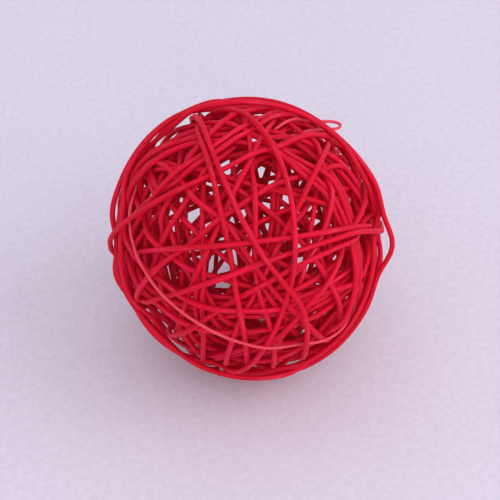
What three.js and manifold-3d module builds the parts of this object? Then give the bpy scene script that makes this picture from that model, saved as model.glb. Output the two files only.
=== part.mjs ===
// Decorative ball, wound at random from long canes of red-dyed rattan core.
// Millimetres, +Z up. The origin is under the ball, on the surface that it stands on.
import * as THREE from 'three';
import * as BufferGeometryUtils from 'three/addons/utils/BufferGeometryUtils.js';
import Module from 'manifold-3d';

const BALL_RADIUS = 50;
const CANE_DIAMETER = 1.9;
const FINE_CANE_DIAMETER = 1.1;

// The least clear distance between two canes, and how deep the innermost planned turns lie.
const GAP = 0.3;
const SHELL_DEPTH = 5.5;

// A cane is drawn square, its corners a little outside the round that it stands for.
const TURNS_PER_CANE = 4;
const POINTS_PER_TURN = 28;
const CANE_SIDES = 4;
const SECTION_SIZE = 1.06;

// Ends are tucked this deep over this many points, and stop this many degrees short of half a
// turn. A cane drifts from one turn to the next on the far side, from BLEND_START degrees on.
const END_TUCK = 4;
const TUCK_POINTS = 6;
const END_MARGIN = 30;
const BLEND_START = 90;

// The foot: within this radius, canes up to this deep in the shell are pressed down to the
// ground, which takes off this height, and this share of a cane's radius is kept above it.
const FOOT_RADIUS = 6;
const FOOT_DEPTH = 6;
const FOOT_HEIGHT = 0.5;
const FOOT_PRESS = 0.1;
const PRESSED_SHARE = 0.6;

// How the winding settles: rounds, the stiffness that evens out bends, the pull back to the
// planned curve (and that of the stiff hairpin), and how much of an overlap one push mends.
const SETTLE_ROUNDS = 900;
const BEND_STIFFNESS = 0.35;
const PULL_BACK = 0.02;
const HAIRPIN_PULL_BACK = 0.2;
const PUSH_SHARE = 0.65;
const CLEARING_ROUNDS = 400;
const CLEARED = 0.01;
const NEIGHBOUR_STEPS = 3;
const SEARCH_EVERY = 10;
const TINY = 1e-6;
const WELD_DISTANCE = 1e-4;

const wasm = await Module();
wasm.setup();

const RED = new THREE.MeshStandardMaterial({ color: 0xb81430, roughness: 0.55, metalness: 0 });
const LIGHT_RED = new THREE.MeshStandardMaterial({ color: 0xd8304f, roughness: 0.4, metalness: 0 });

// The face is the side of the ball seen from the front and 42 degrees above.
const FACE_ELEVATION = THREE.MathUtils.degToRad(42);
const FACE_RIGHT = new THREE.Vector3(1, 0, 0);
const FACE_UP = new THREE.Vector3(0, Math.sin(FACE_ELEVATION), Math.cos(FACE_ELEVATION));
const FACE_OUT = new THREE.Vector3(0, -Math.cos(FACE_ELEVATION), Math.sin(FACE_ELEVATION));

// A turn goes once round the ball. On the face it runs at an angle of lean degrees, passes the
// middle of the face at a distance of middle, and its plane passes the ball's centre at rim. Some
// sway sideways by the fourth number, at the angle of the fifth, and one is lifted off the ball
// by the sixth, at the angle of the seventh. The outermost turns come first.
const FACE_TURNS = [
  [-72, 48.2, 2, 0, 0, 3.6, 20], [35, 49.4, -1], [128, 49.2, -3], [82, 47.5, 3], [-25, 47.8, -4],
  [-110, 48.2, 4], [-66, -1, 0, 8, 38], [20, -11, -10], [-86, 16, -13], [27, 27, 17], [5, -1, 1],
  [29, -18, -17], [-80, -9, -9], [64, -11, -11], [40, 33, 27], [32, 32, 29], [-35, 33, -20],
  [48, -32, -20], [3, -35, 6], [65, 11, 10], [-39, 12, -12], [90, 16, 16], [0, 40, 6], [2, -31, 4],
  [-40, 41, -20], [33, -38, -28], [-12, 19, 15], [55, 26, 20], [-65, -27, -20], [12, 34, 20],
  [75, 42, 24], [69, 12, -6], [15, -29, -12],
];
const SWAY_WIDTH = 24;
const LIFT_WIDTH = 7;
const LOOSE_END_TURN = 6;
const LOOSE_END_ANGLE = 87;
const FILL_TURNS = 11;
const FILL_OFFSET = 17;
const FILL_RHYTHM = 2.4;
const GOLDEN_ANGLE = Math.PI * (3 - Math.sqrt(5));

// The fine cane lies on top, low on the face, and dives under the others at both ends.
const FINE_TURN = [-33, -34, 6];
const FINE_TURN_START = -85;
const FINE_TURN_END = 98;

// The hairpin is a fine cane whose loop stands off the ball, up on the right. Its points are
// places on the face, right, up and out, and its two ends are tucked under the canes.
const HAIRPIN_POINTS = [
  [9, 37, 24], [13, 40, 20], [17, 41.8, 15.5], [21, 42, 10], [25, 41.7, 6], [29, 41.5, 4],
  [31.8, 40.9, 3], [32.7, 39.9, 3], [31.6, 38.8, 3.6], [28.5, 38.4, 6], [24.5, 37.8, 10.5],
  [20, 36.5, 16.5], [16, 34, 22], [12, 31, 27],
];

// Where the wound ball is fuller (+) or flatter (-) than a sphere: direction on the outline in
// degrees, height, and half width in degrees.
const UNEVENNESS = [
  [130, 1.6, 30], [222, -2.3, 22], [285, 1.3, 28], [352, -2.2, 20], [50, -1.8, 12], [193, 2, 7],
];

function onFace(x, y, z) {
  return new THREE.Vector3()
    .addScaledVector(FACE_RIGHT, x)
    .addScaledVector(FACE_UP, y)
    .addScaledVector(FACE_OUT, z);
}

const BUMPS = UNEVENNESS.map(([angle, height, width]) => {
  const turned = THREE.MathUtils.degToRad(angle);
  return {
    direction: onFace(Math.cos(turned), Math.sin(turned), 0),
    height,
    width: THREE.MathUtils.degToRad(width),
  };
});

function surfaceRadius(direction) {
  return BUMPS.reduce((radius, bump) => {
    const away = direction.angleTo(bump.direction) / bump.width;
    return radius + bump.height * Math.exp(-away * away);
  }, BALL_RADIUS);
}

function faceTurn([lean, middle, rim, sway = 0, swayAngle = 0, lift = 0, liftAngle = 0], depth) {
  const turned = THREE.MathUtils.degToRad(lean);
  const along = onFace(Math.cos(turned), Math.sin(turned), 0);
  const across = onFace(-Math.sin(turned), Math.cos(turned), 0);
  const tilt = Math.asin(middle / BALL_RADIUS) - Math.asin(rim / BALL_RADIUS);
  const nearest = FACE_OUT.clone().multiplyScalar(Math.cos(tilt)).addScaledVector(across, Math.sin(tilt));
  const axis = across.multiplyScalar(Math.cos(tilt)).addScaledVector(FACE_OUT, -Math.sin(tilt));
  return { along, nearest, axis, offset: rim, sway, swayAngle, lift, liftAngle, depth };
}

function fillTurn(index) {
  const height = (index + 0.5) / FILL_TURNS;
  const round = index * GOLDEN_ANGLE;
  const flat = Math.sqrt(1 - height * height);
  const axis = onFace(flat * Math.cos(round), flat * Math.sin(round), height);
  const nearest = FACE_OUT.clone().addScaledVector(axis, -FACE_OUT.dot(axis)).normalize();
  const along = new THREE.Vector3().crossVectors(nearest, axis);
  const offset = FILL_OFFSET * Math.sin(FILL_RHYTHM * index + 1);
  return { along, nearest, axis, offset, sway: 0, swayAngle: 0, lift: 0, liftAngle: 0, depth: SHELL_DEPTH };
}

function reversed(turn) {
  return {
    ...turn,
    along: turn.along.clone().negate(),
    axis: turn.axis.clone().negate(),
    offset: -turn.offset,
    sway: -turn.sway,
    swayAngle: -turn.swayAngle,
    liftAngle: -turn.liftAngle,
  };
}

// A bump of height 1 at one angle of a turn, a few degrees wide.
function bumpAt(degrees, middle, width) {
  const away = (THREE.MathUtils.euclideanModulo(degrees - middle + 180, 360) - 180) / width;
  return Math.exp(-away * away);
}

function turnPoint(turn, degrees) {
  const angle = THREE.MathUtils.degToRad(degrees);
  const offset = turn.offset + turn.sway * bumpAt(degrees, turn.swayAngle, SWAY_WIDTH);
  const reach = Math.sqrt(BALL_RADIUS ** 2 - offset ** 2);
  return new THREE.Vector3()
    .addScaledVector(turn.axis, offset)
    .addScaledVector(turn.nearest, reach * Math.cos(angle))
    .addScaledVector(turn.along, reach * Math.sin(angle));
}

function distanceBetween(one, other) {
  return [90, 180, 270].reduce((sum, degrees) => (
    sum + turnPoint(one, degrees).distanceTo(turnPoint(other, degrees))
  ), 0);
}

// One cane goes on from turn to turn on the far side, always to the turn that lies nearest.
function planTours(turns) {
  const left = [...turns];
  let last = reversed(left.splice(LOOSE_END_TURN, 1)[0]);
  const tours = [[last]];
  while (left.length > 0) {
    const choices = left.flatMap((turn, index) => [turn, reversed(turn)].map((next) => (
      { index, next, cost: distanceBetween(last, next) }
    )));
    const best = choices.reduce((least, choice) => (choice.cost < least.cost ? choice : least));
    left.splice(best.index, 1);
    last = best.next;
    if (tours[tours.length - 1].length === TURNS_PER_CANE) {
      tours.push([]);
    }
    tours[tours.length - 1].push(last);
  }
  return tours;
}

function smoothStep(x) {
  const part = THREE.MathUtils.clamp(x, 0, 1);
  return part * part * (3 - 2 * part);
}

function canePoint(tour, degrees, radius) {
  const index = THREE.MathUtils.clamp(Math.floor((degrees + 90) / 360), 0, tour.length - 1);
  const turn = tour[index];
  const next = tour[Math.min(index + 1, tour.length - 1)];
  const share = smoothStep((degrees - 360 * index - BLEND_START) / (360 - 2 * BLEND_START));
  const direction = turnPoint(turn, degrees).lerp(turnPoint(next, degrees), share).normalize();
  const depth = THREE.MathUtils.lerp(turn.depth, next.depth, share);
  const lift = turn.lift * bumpAt(degrees, turn.liftAngle, LIFT_WIDTH);
  return direction.multiplyScalar(surfaceRadius(direction) - radius - depth + lift);
}

// The points of a cane from one angle to another. Its ends are tucked in, but a loose start isn't.
function planCane(tour, radius, startDegrees, endDegrees, tuckStart) {
  const steps = Math.round(((endDegrees - startDegrees) / 360) * POINTS_PER_TURN);
  const points = [];
  for (let step = 0; step <= steps; step += 1) {
    const point = canePoint(tour, THREE.MathUtils.lerp(startDegrees, endDegrees, step / steps), radius);
    const fromEnd = Math.min(tuckStart ? step : TUCK_POINTS, steps - step);
    const tuck = END_TUCK * (1 - smoothStep(fromEnd / TUCK_POINTS));
    points.push(point.setLength(point.length() - tuck));
  }
  return { points, radius };
}

function planLongCane(tour, index) {
  const start = index === 0 ? -LOOSE_END_ANGLE : END_MARGIN - 180;
  const end = (tour.length - 1) * 360 + 180 - END_MARGIN;
  return planCane(tour, CANE_DIAMETER / 2, start, end, index !== 0);
}

function planFineCane() {
  const turn = faceTurn(FINE_TURN, 0);
  return planCane([turn], FINE_CANE_DIAMETER / 2, FINE_TURN_START, FINE_TURN_END, true);
}

function planHairpin() {
  const points = HAIRPIN_POINTS.map((place) => onFace(...place));
  return { points, radius: FINE_CANE_DIAMETER / 2, stiff: true };
}

// Settling: the canes are springy lines that push each other apart until they only touch.
class Winding {
  constructor(canes) {
    this.position = canes.flatMap((cane) => cane.points.map((point) => point.clone()));
    this.plan = canes.flatMap((cane) => cane.points);
    this.radius = canes.flatMap((cane) => cane.points.map(() => cane.radius));
    this.free = this.plan.map((point, index) => (
      point.length() > surfaceRadius(point) - this.radius[index] + TINY
    ));
    this.starts = [];
    this.segments = [];
    this.canes = canes;
    let count = 0;
    canes.forEach((cane, caneIndex) => {
      this.starts.push(count);
      for (let step = 0; step < cane.points.length - 1; step += 1) {
        this.segments.push({ first: count + step, cane: caneIndex });
      }
      count += cane.points.length;
    });
    this.pairs = [];
  }

  findPairs() {
    const middles = this.segments.map(({ first }) => (
      this.position[first].clone().add(this.position[first + 1]).multiplyScalar(0.5)
    ));
    const halves = this.segments.map(({ first }) => (
      this.position[first].distanceTo(this.position[first + 1]) / 2
    ));
    this.pairs = [];
    for (let i = 0; i < this.segments.length; i += 1) {
      for (let j = i + 1; j < this.segments.length; j += 1) {
        const sameCane = this.segments[i].cane === this.segments[j].cane;
        const reach = halves[i] + halves[j] + 2 * CANE_DIAMETER;
        const apart = middles[i].distanceToSquared(middles[j]);
        if (!(sameCane && j - i < NEIGHBOUR_STEPS) && apart < reach * reach) {
          this.pairs.push([this.segments[i].first, this.segments[j].first]);
        }
      }
    }
  }

  // Pushes apart every two segments that are too close. Returns the worst shortage.
  separate() {
    const onFirst = new THREE.Vector3();
    const onSecond = new THREE.Vector3();
    const push = new THREE.Vector3();
    let worst = 0;
    for (const [i, j] of this.pairs) {
      const [a, b] = [this.position[i], this.position[i + 1]];
      const [c, d] = [this.position[j], this.position[j + 1]];
      const wanted = this.radius[i] + this.radius[j] + GAP;
      const [s, t] = closestShares(a, b, c, d);
      onFirst.lerpVectors(a, b, s);
      onSecond.lerpVectors(c, d, t);
      const apart = push.subVectors(onFirst, onSecond).length();
      if (apart < wanted && apart > TINY) {
        const weight = (1 - s) ** 2 + s ** 2 + (1 - t) ** 2 + t ** 2;
        push.multiplyScalar((PUSH_SHARE * (wanted - apart)) / (apart * weight));
        a.addScaledVector(push, 1 - s);
        b.addScaledVector(push, s);
        c.addScaledVector(push, -(1 - t));
        d.addScaledVector(push, -t);
        worst = Math.max(worst, wanted - apart);
      }
    }
    return worst;
  }

  // Springs back towards the planned curve, and evens out the bends that contact makes.
  relax(share) {
    const offsets = this.position.map((point, index) => point.clone().sub(this.plan[index]));
    this.canes.forEach((cane, caneIndex) => {
      const start = this.starts[caneIndex];
      const end = start + cane.points.length - 1;
      const pullBack = cane.stiff ? HAIRPIN_PULL_BACK : PULL_BACK;
      for (let index = start; index <= end; index += 1) {
        const before = offsets[Math.max(index - 1, start)];
        const after = offsets[Math.min(index + 1, end)];
        const wanted = before.clone().add(after).multiplyScalar(0.5).sub(offsets[index]);
        this.position[index].addScaledVector(wanted, share * BEND_STIFFNESS);
        this.position[index].addScaledVector(offsets[index], -share * pullBack);
      }
    });
  }

  // Keeps the canes inside the ball's outline, and presses the lowest ones flat on the ground.
  confine() {
    this.position.forEach((point, index) => {
      const most = surfaceRadius(point) - this.radius[index];
      const ground = FOOT_HEIGHT - BALL_RADIUS + PRESSED_SHARE * this.radius[index];
      const low = point.z < FOOT_DEPTH - BALL_RADIUS;
      if (low && Math.hypot(point.x, point.y) < FOOT_RADIUS) {
        point.z += FOOT_PRESS * (ground - point.z);
      } else if (point.length() > most && !this.free[index]) {
        point.setLength(most);
      }
      point.z = Math.max(point.z, ground);
    });
  }

  settle() {
    let worst = Infinity;
    for (let round = 0; round < SETTLE_ROUNDS + CLEARING_ROUNDS && worst > CLEARED; round += 1) {
      if (round % SEARCH_EVERY === 0) {
        this.findPairs();
      }
      if (round < SETTLE_ROUNDS) {
        this.relax(1 - round / SETTLE_ROUNDS);
      }
      this.confine();
      this.separate();
      const shortage = this.separate();
      worst = round < SETTLE_ROUNDS ? Infinity : shortage;
    }
  }

  linePoints(caneIndex) {
    const start = this.starts[caneIndex];
    return this.position.slice(start, start + this.canes[caneIndex].points.length);
  }
}

// How far along two segments their closest points lie, from 0 to 1 on each.
function closestShares(a, b, c, d) {
  const ux = b.x - a.x;
  const uy = b.y - a.y;
  const uz = b.z - a.z;
  const vx = d.x - c.x;
  const vy = d.y - c.y;
  const vz = d.z - c.z;
  const wx = a.x - c.x;
  const wy = a.y - c.y;
  const wz = a.z - c.z;
  const uu = ux * ux + uy * uy + uz * uz;
  const uv = ux * vx + uy * vy + uz * vz;
  const vv = vx * vx + vy * vy + vz * vz;
  const uw = ux * wx + uy * wy + uz * wz;
  const vw = vx * wx + vy * wy + vz * wz;
  const spread = uu * vv - uv * uv;
  let s = spread > TINY ? THREE.MathUtils.clamp((uv * vw - vv * uw) / spread, 0, 1) : 0.5;
  let t = (uv * s + vw) / vv;
  if (t < 0 || t > 1) {
    t = THREE.MathUtils.clamp(t, 0, 1);
    s = THREE.MathUtils.clamp((uv * t - uw) / uu, 0, 1);
  }
  return [s, t];
}

// A line through settled points, stepped exactly from point to point.
class CaneLine extends THREE.Curve {
  constructor(points) {
    super();
    this.points = points;
  }

  getPointAt(share) {
    const place = share * (this.points.length - 1);
    const index = Math.min(Math.floor(place + TINY), this.points.length - 2);
    return this.points[index].clone().lerp(this.points[index + 1], place - index);
  }

  getTangentAt(share) {
    const index = Math.round(share * (this.points.length - 1));
    const before = this.points[Math.max(index - 1, 0)];
    const after = this.points[Math.min(index + 1, this.points.length - 1)];
    return after.clone().sub(before).normalize();
  }
}

function caneSection(radius) {
  const corners = [];
  for (let side = 0; side < CANE_SIDES; side += 1) {
    const angle = (side * 2 * Math.PI) / CANE_SIDES;
    corners.push(new THREE.Vector2(Math.cos(angle), Math.sin(angle)).multiplyScalar(radius * SECTION_SIZE));
  }
  return new THREE.Shape(corners);
}

function caneGeometry(points, radius) {
  const line = new CaneLine(points);
  const geometry = new THREE.ExtrudeGeometry(caneSection(radius), {
    steps: points.length - 1,
    extrudePath: line,
    bevelEnabled: false,
  });
  geometry.deleteAttribute('normal');
  geometry.deleteAttribute('uv');
  return BufferGeometryUtils.mergeVertices(geometry, WELD_DISTANCE);
}

function toSolid(geometry) {
  return new wasm.Manifold(new wasm.Mesh({
    numProp: 3,
    vertProperties: new Float32Array(geometry.attributes.position.array),
    triVerts: new Uint32Array(geometry.index.array),
  }));
}

function toGeometry(solid) {
  const mesh = solid.getMesh();
  const geometry = new THREE.BufferGeometry();
  geometry.setAttribute('position', new THREE.BufferAttribute(mesh.vertProperties, 3));
  geometry.setIndex(new THREE.BufferAttribute(mesh.triVerts, 1));
  return geometry;
}

// Stands the cane on the ground and cuts off what would sink into it, so the ball can't roll.
function cutByGround(geometry) {
  geometry.translate(0, 0, BALL_RADIUS - FOOT_HEIGHT);
  geometry.computeBoundingBox();
  if (geometry.boundingBox.min.z >= 0) {
    return geometry;
  }
  const ground = new THREE.BoxGeometry(4 * BALL_RADIUS, 4 * BALL_RADIUS, BALL_RADIUS);
  ground.translate(0, 0, -BALL_RADIUS / 2);
  ground.deleteAttribute('normal');
  ground.deleteAttribute('uv');
  return toGeometry(toSolid(geometry).subtract(toSolid(BufferGeometryUtils.mergeVertices(ground))));
}

const turns = [
  ...FACE_TURNS.map((turn, index) => faceTurn(turn, (SHELL_DEPTH * index) / FACE_TURNS.length)),
  ...Array.from({ length: FILL_TURNS }, (_, index) => fillTurn(index)),
];
const tours = planTours(turns);
const canes = tours.map(planLongCane);
const winding = new Winding([...canes, planFineCane(), planHairpin()]);
winding.settle();
const caneNames = canes.map((_, index) => `cane_${String(index + 1).padStart(2, '0')}`);
const names = [...caneNames, 'fine_cane', 'hairpin'];
const geometries = winding.canes.map((cane, index) => (
  cutByGround(caneGeometry(winding.linePoints(index), cane.radius))
));

const ball = new THREE.Group();
geometries.forEach((geometry, index) => {
  const mesh = new THREE.Mesh(geometry, index < canes.length ? RED : LIGHT_RED);
  mesh.name = names[index];
  ball.add(mesh);
});
const middle = new THREE.Box3().setFromObject(ball).getCenter(new THREE.Vector3());
ball.position.set(-middle.x, -middle.y, 0);

export default ball;
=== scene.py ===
# Decorative ball, wound at random from long canes of red-dyed rattan core.
# Metres, +Z up. The origin is under the ball, on the surface that it stands on.
import math

import bmesh
import bpy
import numpy as np
from mathutils import Matrix, Vector


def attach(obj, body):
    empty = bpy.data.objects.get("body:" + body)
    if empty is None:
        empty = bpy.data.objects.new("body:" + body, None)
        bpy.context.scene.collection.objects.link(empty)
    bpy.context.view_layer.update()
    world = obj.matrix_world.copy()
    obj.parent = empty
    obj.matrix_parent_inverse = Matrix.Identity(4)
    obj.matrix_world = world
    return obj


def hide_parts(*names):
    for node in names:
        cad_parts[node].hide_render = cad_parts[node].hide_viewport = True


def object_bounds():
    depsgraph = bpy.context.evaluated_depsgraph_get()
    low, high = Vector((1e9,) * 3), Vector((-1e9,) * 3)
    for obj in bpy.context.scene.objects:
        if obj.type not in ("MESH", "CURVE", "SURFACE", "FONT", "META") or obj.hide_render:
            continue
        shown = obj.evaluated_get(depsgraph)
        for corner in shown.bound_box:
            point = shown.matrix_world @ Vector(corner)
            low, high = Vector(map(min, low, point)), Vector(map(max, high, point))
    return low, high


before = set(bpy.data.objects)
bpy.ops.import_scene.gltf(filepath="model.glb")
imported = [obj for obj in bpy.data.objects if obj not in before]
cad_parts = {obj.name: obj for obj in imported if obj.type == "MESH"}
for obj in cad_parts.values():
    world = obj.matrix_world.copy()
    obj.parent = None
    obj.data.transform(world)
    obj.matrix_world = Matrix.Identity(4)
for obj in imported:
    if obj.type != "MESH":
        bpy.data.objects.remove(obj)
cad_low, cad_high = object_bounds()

MM = 0.001

# The ball. Its middle is a little off the middle of its outline, because the winding is uneven,
# and a little lower than its radius, because the lowest canes are pressed flat.
BALL_RADIUS = 50 * MM
BALL_MIDDLE = Vector((-0.62, 0.96, 49.5)) * MM
GROUND_SKIN = 0.01 * MM

# The canes, and how far the corners of the square solid canes lie from their centre lines. An
# edge of a square end is as long as the square's side or diagonal, within the tolerance.
CANE_RADIUS = 0.95 * MM
FINE_CANE_RADIUS = 0.55 * MM
CORNER_SHARE = 1.06
END_TOLERANCE = 0.1

# A round cane: its sides, its steps between two points of its line, how much its ends are
# chamfered, how its thickness comes and goes along it, and how low it is pressed at the foot.
# Each cane has a number, and its own stretch of the grain, so many metres from the next one's.
CANE_SIDES = 10
STEPS_BETWEEN_POINTS = 4
END_CHAMFER = 0.25
THICKNESS_DRIFT = 0.05
DRIFT_LENGTH = 60 * MM
DRIFT_SHIFT = 1.3
PRESSED_SHARE = 0.6
GRAIN_SHIFT = 3.0
FIRST_FINE_NUMBER = 20
FIRST_INNER_NUMBER = 40

# The inner turns, which fill the shell behind the outer ones: how high they are planned, how far
# they may settle inwards and outwards, how far the axis of each turn leans from the cane's own,
# and how far its plane passes the ball's middle.
INNER_CANES = 8
TURNS_PER_CANE = 4
POINTS_PER_TURN = 28
INNER_HIGH = 46 * MM
INNER_LOW = 38 * MM
HOLLOW_RADIUS = 35.5 * MM
SETTLED_HIGH = BALL_RADIUS - 2.2 * CANE_RADIUS
INNER_LEAN = math.radians(30)
INNER_OFFSET = 11 * MM
GOLDEN_ANGLE = math.pi * (3 - math.sqrt(5))
FIRST_DIRECTION = 0.6

# Height and offset come and go along a cane: swings per turn, and how far each cane is shifted.
HEIGHT_RHYTHM = 0.43
HEIGHT_SHIFT = 1.7
OFFSET_RHYTHM = 0.31
OFFSET_SHIFT = 2.4

# How the inner turns settle: rounds, the stiffness against bends at first and at the last, the
# pull back to the plan, how far neighbours are looked for, how many points apart they have to be
# where they are on the same cane, and how much of an overlap one push mends. In each round the
# places are rounded to so many digits of a metre, so that every run and machine gives the same.
SETTLE_ROUNDS = 700
CLEARING_ROUNDS = 250
STIFFNESS = 0.45
LEAST_STIFFNESS = 0.04
PULL_BACK = 0.01
RELAXED_EACH_ROUND = 2
SEARCH_EVERY = 20
SEARCH_REACH = 5.5 * MM
POINTS_APART = 2
PUSH_SHARE = 0.42
KEPT_DIGITS = 9
NO_SPREAD = 1e-18
NO_DISTANCE = 1e-9

# Places on the face that no inner turn crosses, in mm: right, up and radius of the opening, and
# whether it goes right through the ball, so that the surface shows behind it.
OPEN_PLACES = [
    (5.8, 20.6, 3.4, False), (-9.0, -16.9, 2.1, True), (-8.0, -10.5, 1.8, True),
    (-18.2, 8.8, 2.0, True), (21.0, -10.5, 1.7, True), (-27.2, -11.5, 2.0, False),
    (24.0, 6.2, 1.5, True), (6.5, 12.3, 1.4, True),
]
OPEN_STEPS = 8

FACE_ELEVATION = math.radians(42)
FACE_RIGHT = Vector((1, 0, 0))
FACE_UP = Vector((0, math.sin(FACE_ELEVATION), math.cos(FACE_ELEVATION)))
FACE_OUT = Vector((0, -math.cos(FACE_ELEVATION), math.sin(FACE_ELEVATION)))


# Centre lines of the solid canes

def side_lengths(face):
    return sorted(edge.calc_length() for edge in face.edges)


def rings_from(first_ring):
    """Rings of corners, one after the other, from one end of a square cane to the other."""
    seen = set(first_ring)
    rings = [first_ring]
    while rings[-1]:
        ring = []
        for corner in rings[-1]:
            for edge in corner.link_edges:
                other = edge.other_vert(corner)
                if other not in seen and other.co.z > GROUND_SKIN:
                    seen.add(other)
                    ring.append(other)
        rings.append(ring)
    return rings[:-1]


def end_corners(mesh, corner_radius):
    """The four corners of one square end, in the order of the mesh, so that every run is alike."""
    side = corner_radius * math.sqrt(2)
    tip = rings_from([mesh.verts[0]])[-1][0]
    for face in tip.link_faces:
        lengths = side_lengths(face)
        longest = (1 + END_TOLERANCE) * math.sqrt(2) * side
        shortest = (1 - END_TOLERANCE) * side
        if lengths[2] < longest and lengths[0] > shortest:
            diagonal = max(face.edges, key=lambda edge: edge.calc_length())
            corners = {corner for half in diagonal.link_faces for corner in half.verts}
            return [corner for corner in mesh.verts if corner in corners]
    raise ValueError("no square end found")


def ring_middle(ring, corner_radius):
    """The middle of a ring of four corners, of which the ground may have cut off the lowest."""
    places = [corner.co for corner in ring]
    if len(places) == 3:
        pairs = [(places[i], places[j]) for i, j in ((0, 1), (0, 2), (1, 2))]
        places = max(pairs, key=lambda pair: (pair[0] - pair[1]).length)
    middle = sum(places, Vector()) / len(places)
    if len(ring) < 3:
        half = (places[0] - middle).length
        middle.z -= math.sqrt(max(corner_radius ** 2 - half ** 2, 0))
    return middle


def solid_line(name, radius):
    """The centre line of a CAD cane."""
    corner_radius = radius * CORNER_SHARE
    mesh = bmesh.new()
    mesh.from_mesh(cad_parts[name].data)
    bmesh.ops.remove_doubles(mesh, verts=mesh.verts, dist=GROUND_SKIN / 2)
    mesh.verts.ensure_lookup_table()
    rings = rings_from(end_corners(mesh, corner_radius))
    line = np.array([ring_middle(ring, corner_radius) for ring in rings])
    mesh.free()
    return line


def spline_point(p0, p1, p2, p3, t):
    """A point on the smooth curve from p1 to p2, with p0 before and p3 after them."""
    return 0.5 * (2 * p1 + (p2 - p0) * t + (2 * p0 - 5 * p1 + 4 * p2 - p3) * t ** 2
                  + (3 * p1 - p0 - 3 * p2 + p3) * t ** 3)


# Planning and settling the inner turns

def inner_axis(index, turn):
    """The axis of one turn of an inner cane: it leans away from the cane's own axis."""
    height = (index + 0.5) / INNER_CANES
    flat = math.sqrt(1 - height * height)
    turned = index * GOLDEN_ANGLE + FIRST_DIRECTION
    own = (FACE_RIGHT * flat * math.cos(turned) + FACE_UP * flat * math.sin(turned)
           + FACE_OUT * height)
    across = own.orthogonal().normalized()
    way = turn * GOLDEN_ANGLE + index
    lean = across * math.cos(way) + own.cross(across) * math.sin(way)
    return (own + lean * math.tan(INNER_LEAN)).normalized()


def inner_line(index):
    """The turns of one inner cane, which drifts from the axis of each to that of the next.
    Both of its ends are on the far side of the ball."""
    axes = [inner_axis(index, turn) for turn in range(-1, TURNS_PER_CANE + 2)]
    points = []
    start = -FACE_OUT
    for step in range(TURNS_PER_CANE * POINTS_PER_TURN):
        turn, part = divmod(step, POINTS_PER_TURN)
        axis = spline_point(*axes[turn:turn + 4], part / POINTS_PER_TURN).normalized()
        start = (start - axis * start.dot(axis)).normalized()
        spin = 2 * math.pi * step / POINTS_PER_TURN
        direction = start * math.cos(spin) + axis.cross(start) * math.sin(spin)
        offset = INNER_OFFSET * math.sin(OFFSET_RHYTHM * spin + OFFSET_SHIFT * index)
        level = 0.5 + 0.5 * math.sin(HEIGHT_RHYTHM * spin + HEIGHT_SHIFT * index)
        radius = INNER_LOW + (INNER_HIGH - INNER_LOW) * level
        points.append(direction * math.sqrt(radius * radius - offset * offset) + axis * offset)
    return np.array(points)


def open_line(right, up, through):
    """The line of sight through an open place: an inner cane may not come close to it."""
    place = (FACE_RIGHT * right + FACE_UP * up) * MM
    near = math.sqrt(BALL_RADIUS ** 2 - place.length_squared)
    far = -near if through else 0
    return np.array([place + FACE_OUT * (near + (far - near) * step / OPEN_STEPS)
                     for step in range(OPEN_STEPS + 1)])


def closest_shares(a, b, c, d):
    """How far along each of two segments their closest points lie, for many pairs at once."""
    u, v, w = b - a, d - c, a - c
    uu = np.einsum("ij,ij->i", u, u)
    uv = np.einsum("ij,ij->i", u, v)
    vv = np.einsum("ij,ij->i", v, v)
    uw = np.einsum("ij,ij->i", u, w)
    vw = np.einsum("ij,ij->i", v, w)
    spread = np.maximum(uu * vv - uv * uv, NO_SPREAD)
    s = np.clip((uv * vw - vv * uw) / spread, 0, 1)
    t = np.clip((uv * s + vw) / vv, 0, 1)
    s = np.clip((uv * t - uw) / uu, 0, 1)
    return s, t


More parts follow.
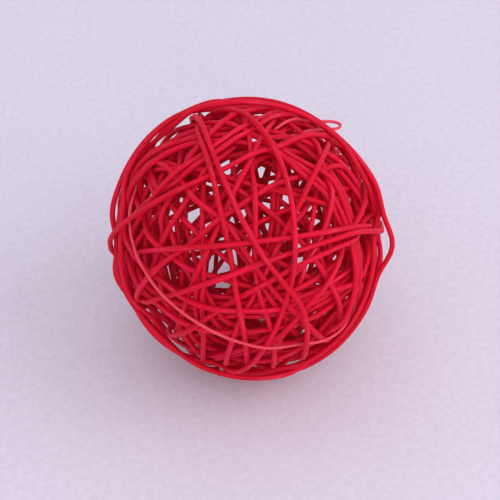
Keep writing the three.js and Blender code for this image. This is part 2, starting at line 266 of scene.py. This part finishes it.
class Winding:
    """Springy lines that push each other apart. The solid canes stay where they are."""

    def __init__(self, fixed, moving):
        lines = fixed + moving
        self.points = np.concatenate([line for line, _ in lines])
        self.radius = np.concatenate([np.full(len(line), radius) for line, radius in lines])
        self.cane = np.concatenate([np.full(len(line), k) for k, (line, _) in enumerate(lines)])
        self.free = self.cane >= len(fixed)
        self.plan = self.points.copy()
        first = np.arange(len(self.points) - 1)
        self.segments = first[self.cane[:-1] == self.cane[1:]]
        self.first_moving = len(fixed)
        self.count = len(lines)

    def contacts(self, pairs):
        """How each pair of segments stands: shares along both, the way between and its length."""
        i, j = pairs
        a, b, c, d = self.points[i], self.points[i + 1], self.points[j], self.points[j + 1]
        s, t = closest_shares(a, b, c, d)
        between = a + (b - a) * s[:, None] - c - (d - c) * t[:, None]
        return s, t, between, np.sqrt(np.einsum("ij,ij->i", between, between))

    def find_pairs(self):
        starts, ends = self.points[self.segments], self.points[self.segments + 1]
        middles = (starts + ends) / 2
        halves = np.linalg.norm(ends - starts, axis=1) / 2
        moving = np.flatnonzero(self.free[self.segments])
        squares = np.einsum("ij,ij->i", middles, middles)
        apart = squares[moving][:, None] + squares[None, :] - 2 * middles[moving] @ middles.T
        reach = halves[moving][:, None] + halves[None, :] + SEARCH_REACH
        rows, columns = np.nonzero(apart < reach * reach)
        i, j = self.segments[moving[rows]], self.segments[columns]
        kept = (np.abs(i - j) > POINTS_APART) & ((j < i) | ~self.free[j])
        pairs = np.array([i[kept], j[kept]])
        self.pairs = pairs[:, self.contacts(pairs)[3] < SEARCH_REACH]

    def separate(self):
        s, t, between, apart = self.contacts(self.pairs)
        i, j = self.pairs
        short = self.radius[i] + self.radius[j] - apart
        hit = (short > 0) & (apart > NO_DISTANCE)
        i, j, s, t, short = i[hit], j[hit], s[hit], t[hit], short[hit]
        held = np.where(self.free[j], 1.0, 0.0)
        weight = (1 - s) ** 2 + s ** 2 + held * ((1 - t) ** 2 + t ** 2)
        push = between[hit] * (PUSH_SHARE * short / (weight * apart[hit]))[:, None]
        moved = np.zeros_like(self.points)
        for place, share in ((i, 1 - s), (i + 1, s), (j, held * (t - 1)), (j + 1, -held * t)):
            for axis in range(3):
                moved[:, axis] += np.bincount(place, push[:, axis] * share, len(self.points))
        self.points += moved

    def relax(self, stiffness, restore):
        offset = self.points - self.plan
        before = offset.copy()
        after = offset.copy()
        same = self.cane[:-1] == self.cane[1:]
        before[1:][same] = offset[:-1][same]
        after[:-1][same] = offset[1:][same]
        change = stiffness * ((before + after) / 2 - offset) - restore * offset
        self.points += np.where(self.free[:, None], change, 0)

    def confine(self):
        length = np.linalg.norm(self.points, axis=1)
        kept = np.clip(length, HOLLOW_RADIUS, SETTLED_HIGH)
        self.points *= np.where(self.free, kept / length, 1)[:, None]
        height = self.points[:, 2]
        ground = CANE_RADIUS - BALL_MIDDLE.z
        self.points[:, 2] = np.where(self.free, np.maximum(height, ground), height)

    def settle(self):
        for index in range(SETTLE_ROUNDS + CLEARING_ROUNDS):
            self.points = self.points.round(KEPT_DIGITS)
            if index % SEARCH_EVERY == 0:
                self.find_pairs()
            calm = max(1 - index / SETTLE_ROUNDS, 0)
            for _ in range(RELAXED_EACH_ROUND):
                self.relax(STIFFNESS * calm + LEAST_STIFFNESS, PULL_BACK * calm)
            self.confine()
            self.separate()

    def settled_lines(self):
        return [self.points[self.cane == index] for index in range(self.first_moving, self.count)]


# Round canes along their lines

def smooth_line(points):
    """A smooth curve through the points, with evenly many steps between every two."""
    padded = np.concatenate([[2 * points[0] - points[1]], points, [2 * points[-1] - points[-2]]])
    out = []
    for index in range(len(points) - 1):
        p0, p1, p2, p3 = padded[index:index + 4]
        for step in range(STEPS_BETWEEN_POINTS):
            out.append(spline_point(p0, p1, p2, p3, step / STEPS_BETWEEN_POINTS))
    out.append(points[-1])
    return np.array(out)


def kept_inside(points, radius):
    """Keeps a cane inside the box of the solid ball, and off the ground."""
    reach = radius * (1 + THICKNESS_DRIFT)
    low = np.array(cad_low) + reach
    high = np.array(cad_high) - reach
    low[2] = PRESSED_SHARE * radius
    return np.clip(points, low, high)


def extrude_rim(mesh, rim):
    made = bmesh.ops.extrude_edge_only(mesh, edges=rim)["geom"]
    return ([part for part in made if isinstance(part, bmesh.types.BMVert)],
            [part for part in made if isinstance(part, bmesh.types.BMEdge)])


def tangents_along(points):
    """The direction of a line at each of its points."""
    ahead = points[1:] + points[-1:]
    behind = points[:1] + points[:-1]
    return [(after - before).normalized() for after, before in zip(ahead, behind)]


def carry(mesh, ring, here, there, turned, share):
    """Takes a ring of corners from one place to another, turned and scaled by a share."""
    bmesh.ops.transform(
        mesh, verts=ring,
        matrix=(Matrix.Translation(there) @ turned @ Matrix.Scale(share, 4)
                @ Matrix.Translation(-here)))


def cane_tip(mesh, place, tangent, radius):
    """The flat first end of a cane, a chamfer smaller than the cane: its corners and its rim."""
    stand = tangent.to_track_quat("Z", "Y").to_matrix().to_4x4()
    ring = bmesh.ops.create_circle(
        mesh, segments=CANE_SIDES, radius=radius, cap_ends=True,
        matrix=Matrix.Translation(place) @ stand @ Matrix.Scale(1 - END_CHAMFER, 4))["verts"]
    bmesh.ops.reverse_faces(mesh, faces=mesh.faces)
    return ring, list(mesh.edges)


def swept_rings(mesh, points, radius, number):
    """Sweeps a round cane along its line, from its first end to its last. Gives its rings of
    corners, each with its distance along the grain, and the rim of the last end."""
    tangents = tangents_along(points)
    ring, rim = cane_tip(mesh, points[0], tangents[0], radius)
    chamfer = END_CHAMFER * radius
    here = points[0]
    size = 1 - END_CHAMFER
    along = GRAIN_SHIFT * number
    rings = [(ring, along)]
    for index, there in enumerate(points):
        swing = along / DRIFT_LENGTH * 2 * math.pi + DRIFT_SHIFT * number
        drift = 1 + THICKNESS_DRIFT * math.sin(swing)
        bend = tangents[max(index - 1, 0)].rotation_difference(tangents[index])
        nudge = tangents[index] * (chamfer if index == 0 else 0)
        along += (there - here).length
        ring, rim = extrude_rim(mesh, rim)
        carry(mesh, ring, here, there + nudge, bend.to_matrix().to_4x4(), drift / size)
        here = there + nudge
        size = drift
        rings.append((ring, along))
    ring, rim = extrude_rim(mesh, rim)
    end = here + tangents[-1] * chamfer
    carry(mesh, ring, here, end, Matrix.Identity(4), (1 - END_CHAMFER) / size)
    rings.append((ring, along))
    return rings, rim


def wound_cane(name, line, radius, number, material):
    """One round cane along its line. Its ends are cut square, with a slight chamfer."""
    points = [Vector(point) for point in kept_inside(smooth_line(line), radius)]
    mesh = bmesh.new()
    straight = mesh.verts.layers.float_vector.new("straight")
    rings, rim = swept_rings(mesh, points, radius, number)
    bmesh.ops.contextual_create(mesh, geom=rim)
    for ring, distance in rings:
        for side, corner in enumerate(ring):
            angle = 2 * math.pi * side / CANE_SIDES
            corner[straight] = (radius * math.cos(angle), radius * math.sin(angle), distance)
            corner.co.z = max(corner.co.z, 0)
    data = bpy.data.meshes.new(name)
    mesh.to_mesh(data)
    mesh.free()
    for face in data.polygons:
        face.use_smooth = len(face.vertices) == 4
    data.materials.append(material)
    piece = bpy.data.objects.new(name, data)
    bpy.context.scene.collection.objects.link(piece)
    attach(piece, "root")
    return piece


# Materials. How often the noise repeats in each millimetre: round the cane for each of its fibres,
# round it for the dye, and round it and along it for the pale stretches, which are partly faded
# dye and partly painted highlight.

REPEATS_PER_FIBRE = 0.25
DYE_ACROSS = 0.25
FADE_AND_HIGHLIGHT_ACROSS = 1.1
FADE_AND_HIGHLIGHT_ALONG = 0.09


def linear(red, green, blue):
    """A colour given as screen values from 0 to 255."""
    return tuple(((value / 255 + 0.055) / 1.055) ** 2.4 if value > 10 else value / 255 / 12.92
                 for value in (red, green, blue)) + (1,)


def new_material(name):
    material = bpy.data.materials.new(name)
    material.use_nodes = True
    return material, material.node_tree, material.node_tree.nodes["Principled BSDF"]


def add(tree, kind, **settings):
    node = tree.nodes.new(kind)
    for key, value in settings.items():
        setattr(node, key, value)
    return node


def cane_fibres():
    """Lengthwise fibres and slow changes of the dye, in a cane's own straightened space."""
    group = bpy.data.node_groups.new("cane fibres", "ShaderNodeTree")
    face = group.interface
    for name, value in (("Fibre Count", 14.0), ("Fibre Length", 9.0), ("Dye Length", 40.0)):
        face.new_socket(name, in_out="INPUT", socket_type="NodeSocketFloat").default_value = value
    for name in ("Fibre", "Dye", "Fade", "Relief"):
        face.new_socket(name, in_out="OUTPUT", socket_type="NodeSocketFloat")
    start = add(group, "NodeGroupInput")
    end = add(group, "NodeGroupOutput")
    link = group.links.new
    place = add(group, "ShaderNodeAttribute", attribute_name="straight")
    split = add(group, "ShaderNodeSeparateXYZ")
    link(place.outputs["Vector"], split.inputs[0])

    def stretched(across, along, detail, roughness):
        """Noise that repeats `across` times round the cane and `along` times lengthwise: numbers
        are per millimetre, sockets per metre."""
        joined = add(group, "ShaderNodeCombineXYZ")
        for socket, count in (("X", across), ("Y", across), ("Z", along)):
            times = add(group, "ShaderNodeMath", operation="MULTIPLY")
            link(split.outputs[socket], times.inputs[0])
            if isinstance(count, (int, float)):
                times.inputs[1].default_value = count / MM
            else:
                link(count, times.inputs[1])
            link(times.outputs[0], joined.inputs[socket])
        noise = add(group, "ShaderNodeTexNoise")
        noise.inputs["Scale"].default_value = 1.0
        noise.inputs["Detail"].default_value = detail
        noise.inputs["Roughness"].default_value = roughness
        link(joined.outputs[0], noise.inputs["Vector"])
        return noise.outputs["Fac"]

    def repeats_of_length(socket):
        """Turns a length in millimetres into repeats per metre."""
        divide = add(group, "ShaderNodeMath", operation="DIVIDE")
        divide.inputs[0].default_value = 1 / MM
        link(start.outputs[socket], divide.inputs[1])
        return divide.outputs[0]

    def repeats_of_count(socket):
        """Turns a count of fibres into repeats per metre."""
        times = add(group, "ShaderNodeMath", operation="MULTIPLY")
        times.inputs[1].default_value = REPEATS_PER_FIBRE / MM
        link(start.outputs[socket], times.inputs[0])
        return times.outputs[0]

    fibre = stretched(repeats_of_count("Fibre Count"), repeats_of_length("Fibre Length"),
                      detail=3.0, roughness=0.6)
    dye = stretched(DYE_ACROSS, repeats_of_length("Dye Length"), detail=2.0, roughness=0.5)
    # Pale stretches at random along the cane: partly faded dye, partly painted highlight.
    fade_and_highlight = stretched(FADE_AND_HIGHLIGHT_ACROSS, FADE_AND_HIGHLIGHT_ALONG, detail=3.0, roughness=0.55)
    link(fibre, end.inputs["Fibre"])
    link(dye, end.inputs["Dye"])
    link(fade_and_highlight, end.inputs["Fade"])
    relief = add(group, "ShaderNodeMapRange")
    relief.inputs["From Min"].default_value = 0.3
    relief.inputs["From Max"].default_value = 0.7
    link(fibre, relief.inputs["Value"])
    link(relief.outputs[0], end.inputs["Relief"])
    return group


def dyed_cane(name, group, deep, bright, worn_and_highlight, roughness, counts, gloss_level):
    material, tree, shader = new_material(name)
    link = tree.links.new
    fibres = add(tree, "ShaderNodeGroup", node_tree=group)
    for socket, value in counts.items():
        fibres.inputs[socket].default_value = value
    base = add(tree, "ShaderNodeMix", data_type="RGBA")
    spread = add(tree, "ShaderNodeMapRange")
    spread.inputs["From Min"].default_value = 0.32
    spread.inputs["From Max"].default_value = 0.68
    link(fibres.outputs["Dye"], spread.inputs["Value"])
    link(spread.outputs[0], base.inputs["Factor"])
    base.inputs["A"].default_value = linear(*deep)
    base.inputs["B"].default_value = linear(*bright)
    # The pale pink patches are partly faded dye and partly painted highlight, laid into the base
    # colour.
    fade_and_highlight = add(tree, "ShaderNodeMapRange")
    fade_and_highlight.inputs["From Min"].default_value = 0.57
    fade_and_highlight.inputs["From Max"].default_value = 0.76
    fade_and_highlight.inputs["To Max"].default_value = 0.5
    link(fibres.outputs["Fade"], fade_and_highlight.inputs["Value"])
    tint = add(tree, "ShaderNodeMix", data_type="RGBA")
    link(fade_and_highlight.outputs[0], tint.inputs["Factor"])
    link(base.outputs["Result"], tint.inputs["A"])
    tint.inputs["B"].default_value = linear(*worn_and_highlight)
    grain = add(tree, "ShaderNodeMix", data_type="RGBA", blend_type="MULTIPLY")
    dark = add(tree, "ShaderNodeMapRange")
    dark.inputs["From Min"].default_value = 0.3
    dark.inputs["From Max"].default_value = 0.7
    dark.inputs["To Min"].default_value = 0.68
    dark.inputs["To Max"].default_value = 1.12
    link(fibres.outputs["Fibre"], dark.inputs["Value"])
    grain.inputs["Factor"].default_value = 1.0
    link(tint.outputs["Result"], grain.inputs["A"])
    link(dark.outputs[0], grain.inputs["B"])
    link(grain.outputs["Result"], shader.inputs["Base Color"])
    gloss = add(tree, "ShaderNodeMapRange")
    gloss.inputs["To Min"].default_value = roughness[0]
    gloss.inputs["To Max"].default_value = roughness[1]
    link(fibres.outputs["Fibre"], gloss.inputs["Value"])
    link(gloss.outputs[0], shader.inputs["Roughness"])
    bump = add(tree, "ShaderNodeBump")
    bump.inputs["Strength"].default_value = 0.7
    bump.inputs["Distance"].default_value = 0.08 * MM
    link(fibres.outputs["Relief"], bump.inputs["Height"])
    link(bump.outputs[0], shader.inputs["Normal"])
    shader.inputs["Specular IOR Level"].default_value = gloss_level
    shader.inputs["Subsurface Weight"].default_value = 0.2
    shader.inputs["Subsurface Radius"].default_value = (1.0, 0.12, 0.12)
    shader.inputs["Subsurface Scale"].default_value = 2 * MM
    return material


def surface_paper():
    material, tree, shader = new_material("pale lavender surface")
    link = tree.links.new
    place = add(tree, "ShaderNodeTexCoord")
    cloudy = add(tree, "ShaderNodeTexNoise")
    cloudy.inputs["Scale"].default_value = 18.0
    cloudy.inputs["Detail"].default_value = 6.0
    link(place.outputs["Object"], cloudy.inputs["Vector"])
    mix = add(tree, "ShaderNodeMix", data_type="RGBA")
    link(cloudy.outputs["Fac"], mix.inputs["Factor"])
    mix.inputs["A"].default_value = linear(218, 208, 225)
    mix.inputs["B"].default_value = linear(225, 215, 231)
    pulp = add(tree, "ShaderNodeTexNoise")
    pulp.inputs["Scale"].default_value = 420.0
    pulp.inputs["Detail"].default_value = 3.0
    link(place.outputs["Object"], pulp.inputs["Vector"])
    speckle = add(tree, "ShaderNodeMapRange")
    speckle.inputs["From Min"].default_value = 0.3
    speckle.inputs["From Max"].default_value = 0.7
    speckle.inputs["To Min"].default_value = 0.95
    speckle.inputs["To Max"].default_value = 1.04
    link(pulp.outputs["Fac"], speckle.inputs["Value"])
    mottled = add(tree, "ShaderNodeMix", data_type="RGBA", blend_type="MULTIPLY")
    mottled.inputs["Factor"].default_value = 1.0
    link(mix.outputs["Result"], mottled.inputs["A"])
    link(speckle.outputs[0], mottled.inputs["B"])
    link(mottled.outputs["Result"], shader.inputs["Base Color"])
    grit = add(tree, "ShaderNodeBump")
    grit.inputs["Strength"].default_value = 0.5
    grit.inputs["Distance"].default_value = 0.1 * MM
    link(pulp.outputs["Fac"], grit.inputs["Height"])
    link(grit.outputs[0], shader.inputs["Normal"])
    shader.inputs["Roughness"].default_value = 0.75
    shader.inputs["Specular IOR Level"].default_value = 0.2
    return material


fibres = cane_fibres()
# In both cane colours, the pale worn colour is partly faded dye and partly painted highlight.
dyed_core = dyed_cane(
    "dyed rattan core", fibres, deep=(218, 0, 36), bright=(233, 8, 60), worn_and_highlight=(238, 90, 122),
    roughness=(0.45, 0.65), gloss_level=0.16,
    counts={"Fibre Count": 14.0, "Fibre Length": 9.0, "Dye Length": 40.0})
dyed_peel = dyed_cane(
    "dyed split cane", fibres, deep=(232, 26, 58), bright=(250, 60, 92), worn_and_highlight=(255, 140, 160),
    roughness=(0.25, 0.4), gloss_level=0.6,
    counts={"Fibre Count": 20.0, "Fibre Length": 14.0, "Dye Length": 30.0})

# The ball

FINE_NAMES = ("fine_cane", "hairpin")
cane_names = sorted(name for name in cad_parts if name.startswith("cane_"))
solid_lines = {name: solid_line(name, CANE_RADIUS) for name in cane_names}
for name in FINE_NAMES:
    solid_lines[name] = solid_line(name, FINE_CANE_RADIUS)

for number, name in enumerate(cane_names):
    piece = wound_cane(f"wound_{name}", solid_lines[name], CANE_RADIUS, number, dyed_core)
    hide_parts(name)
for number, name in enumerate(FINE_NAMES):
    piece = wound_cane(f"wound_{name}", solid_lines[name], FINE_CANE_RADIUS,
                       FIRST_FINE_NUMBER + number, dyed_peel)
    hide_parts(name)

middle = np.array(BALL_MIDDLE)
fixed = [(line - middle, FINE_CANE_RADIUS if name in FINE_NAMES else CANE_RADIUS)
         for name, line in solid_lines.items()]
fixed += [(open_line(right, up, through), radius * MM) for right, up, radius, through in OPEN_PLACES]
moving = [(inner_line(index), CANE_RADIUS) for index in range(INNER_CANES)]
winding = Winding(fixed, moving)
winding.settle()
for number, line in enumerate(winding.settled_lines()):
    wound_cane(f"inner_cane_{number + 1:02d}", line + middle, CANE_RADIUS,
               FIRST_INNER_NUMBER + number, dyed_core)

# Surface, light and camera

SURFACE_REACH = 4.0
floor_mesh = bmesh.new()
bmesh.ops.create_grid(floor_mesh, x_segments=2, y_segments=2, size=SURFACE_REACH)
floor_data = bpy.data.meshes.new("surface")
floor_mesh.to_mesh(floor_data)
floor_mesh.free()
floor_data.materials.append(surface_paper())
floor = bpy.data.objects.new("surface", floor_data)
bpy.context.scene.collection.objects.link(floor)


def soft_light(name, place, size, power, colour):
    data = bpy.data.lights.new(name, "AREA")
    data.shape = "DISK"
    data.size = size
    data.energy = power
    data.color = colour
    light = bpy.data.objects.new(name, data)
    light.location = place
    light.rotation_mode = "QUATERNION"
    light.rotation_quaternion = (Vector(place) - BALL_MIDDLE).to_track_quat("Z", "Y")
    bpy.context.scene.collection.objects.link(light)


soft_light("window", place=(1.0, -0.25, 0.8), size=1.2, power=5.2, colour=(1.0, 0.98, 0.95))
soft_light("front fill", place=(0.1, -1.2, 1.0), size=1.2, power=4.9, colour=(1.0, 0.98, 0.985))

world = bpy.data.worlds.new("room")
world.use_nodes = True
background = world.node_tree.nodes["Background"]
background.inputs["Color"].default_value = (0.93, 0.95, 1.0, 1)
background.inputs["Strength"].default_value = 0.83
bpy.context.scene.world = world
bpy.context.scene.view_settings.view_transform = "Standard"

CAMERA_DISTANCE = 600 * MM
AIM_RIGHT = 0.54 * MM
AIM_UP = -4.3 * MM
LENS = 121.0
camera_data = bpy.data.cameras.new("camera")
camera_data.lens = LENS
camera_data.sensor_width = 36.0
camera = bpy.data.objects.new("camera", camera_data)
camera.location = (BALL_MIDDLE + FACE_OUT * CAMERA_DISTANCE + FACE_RIGHT * AIM_RIGHT
                   + FACE_UP * AIM_UP)
camera.rotation_euler = (math.pi / 2 - FACE_ELEVATION, 0, 0)
bpy.context.scene.collection.objects.link(camera)
bpy.context.scene.camera = camera

bpy.context.view_layer.update()
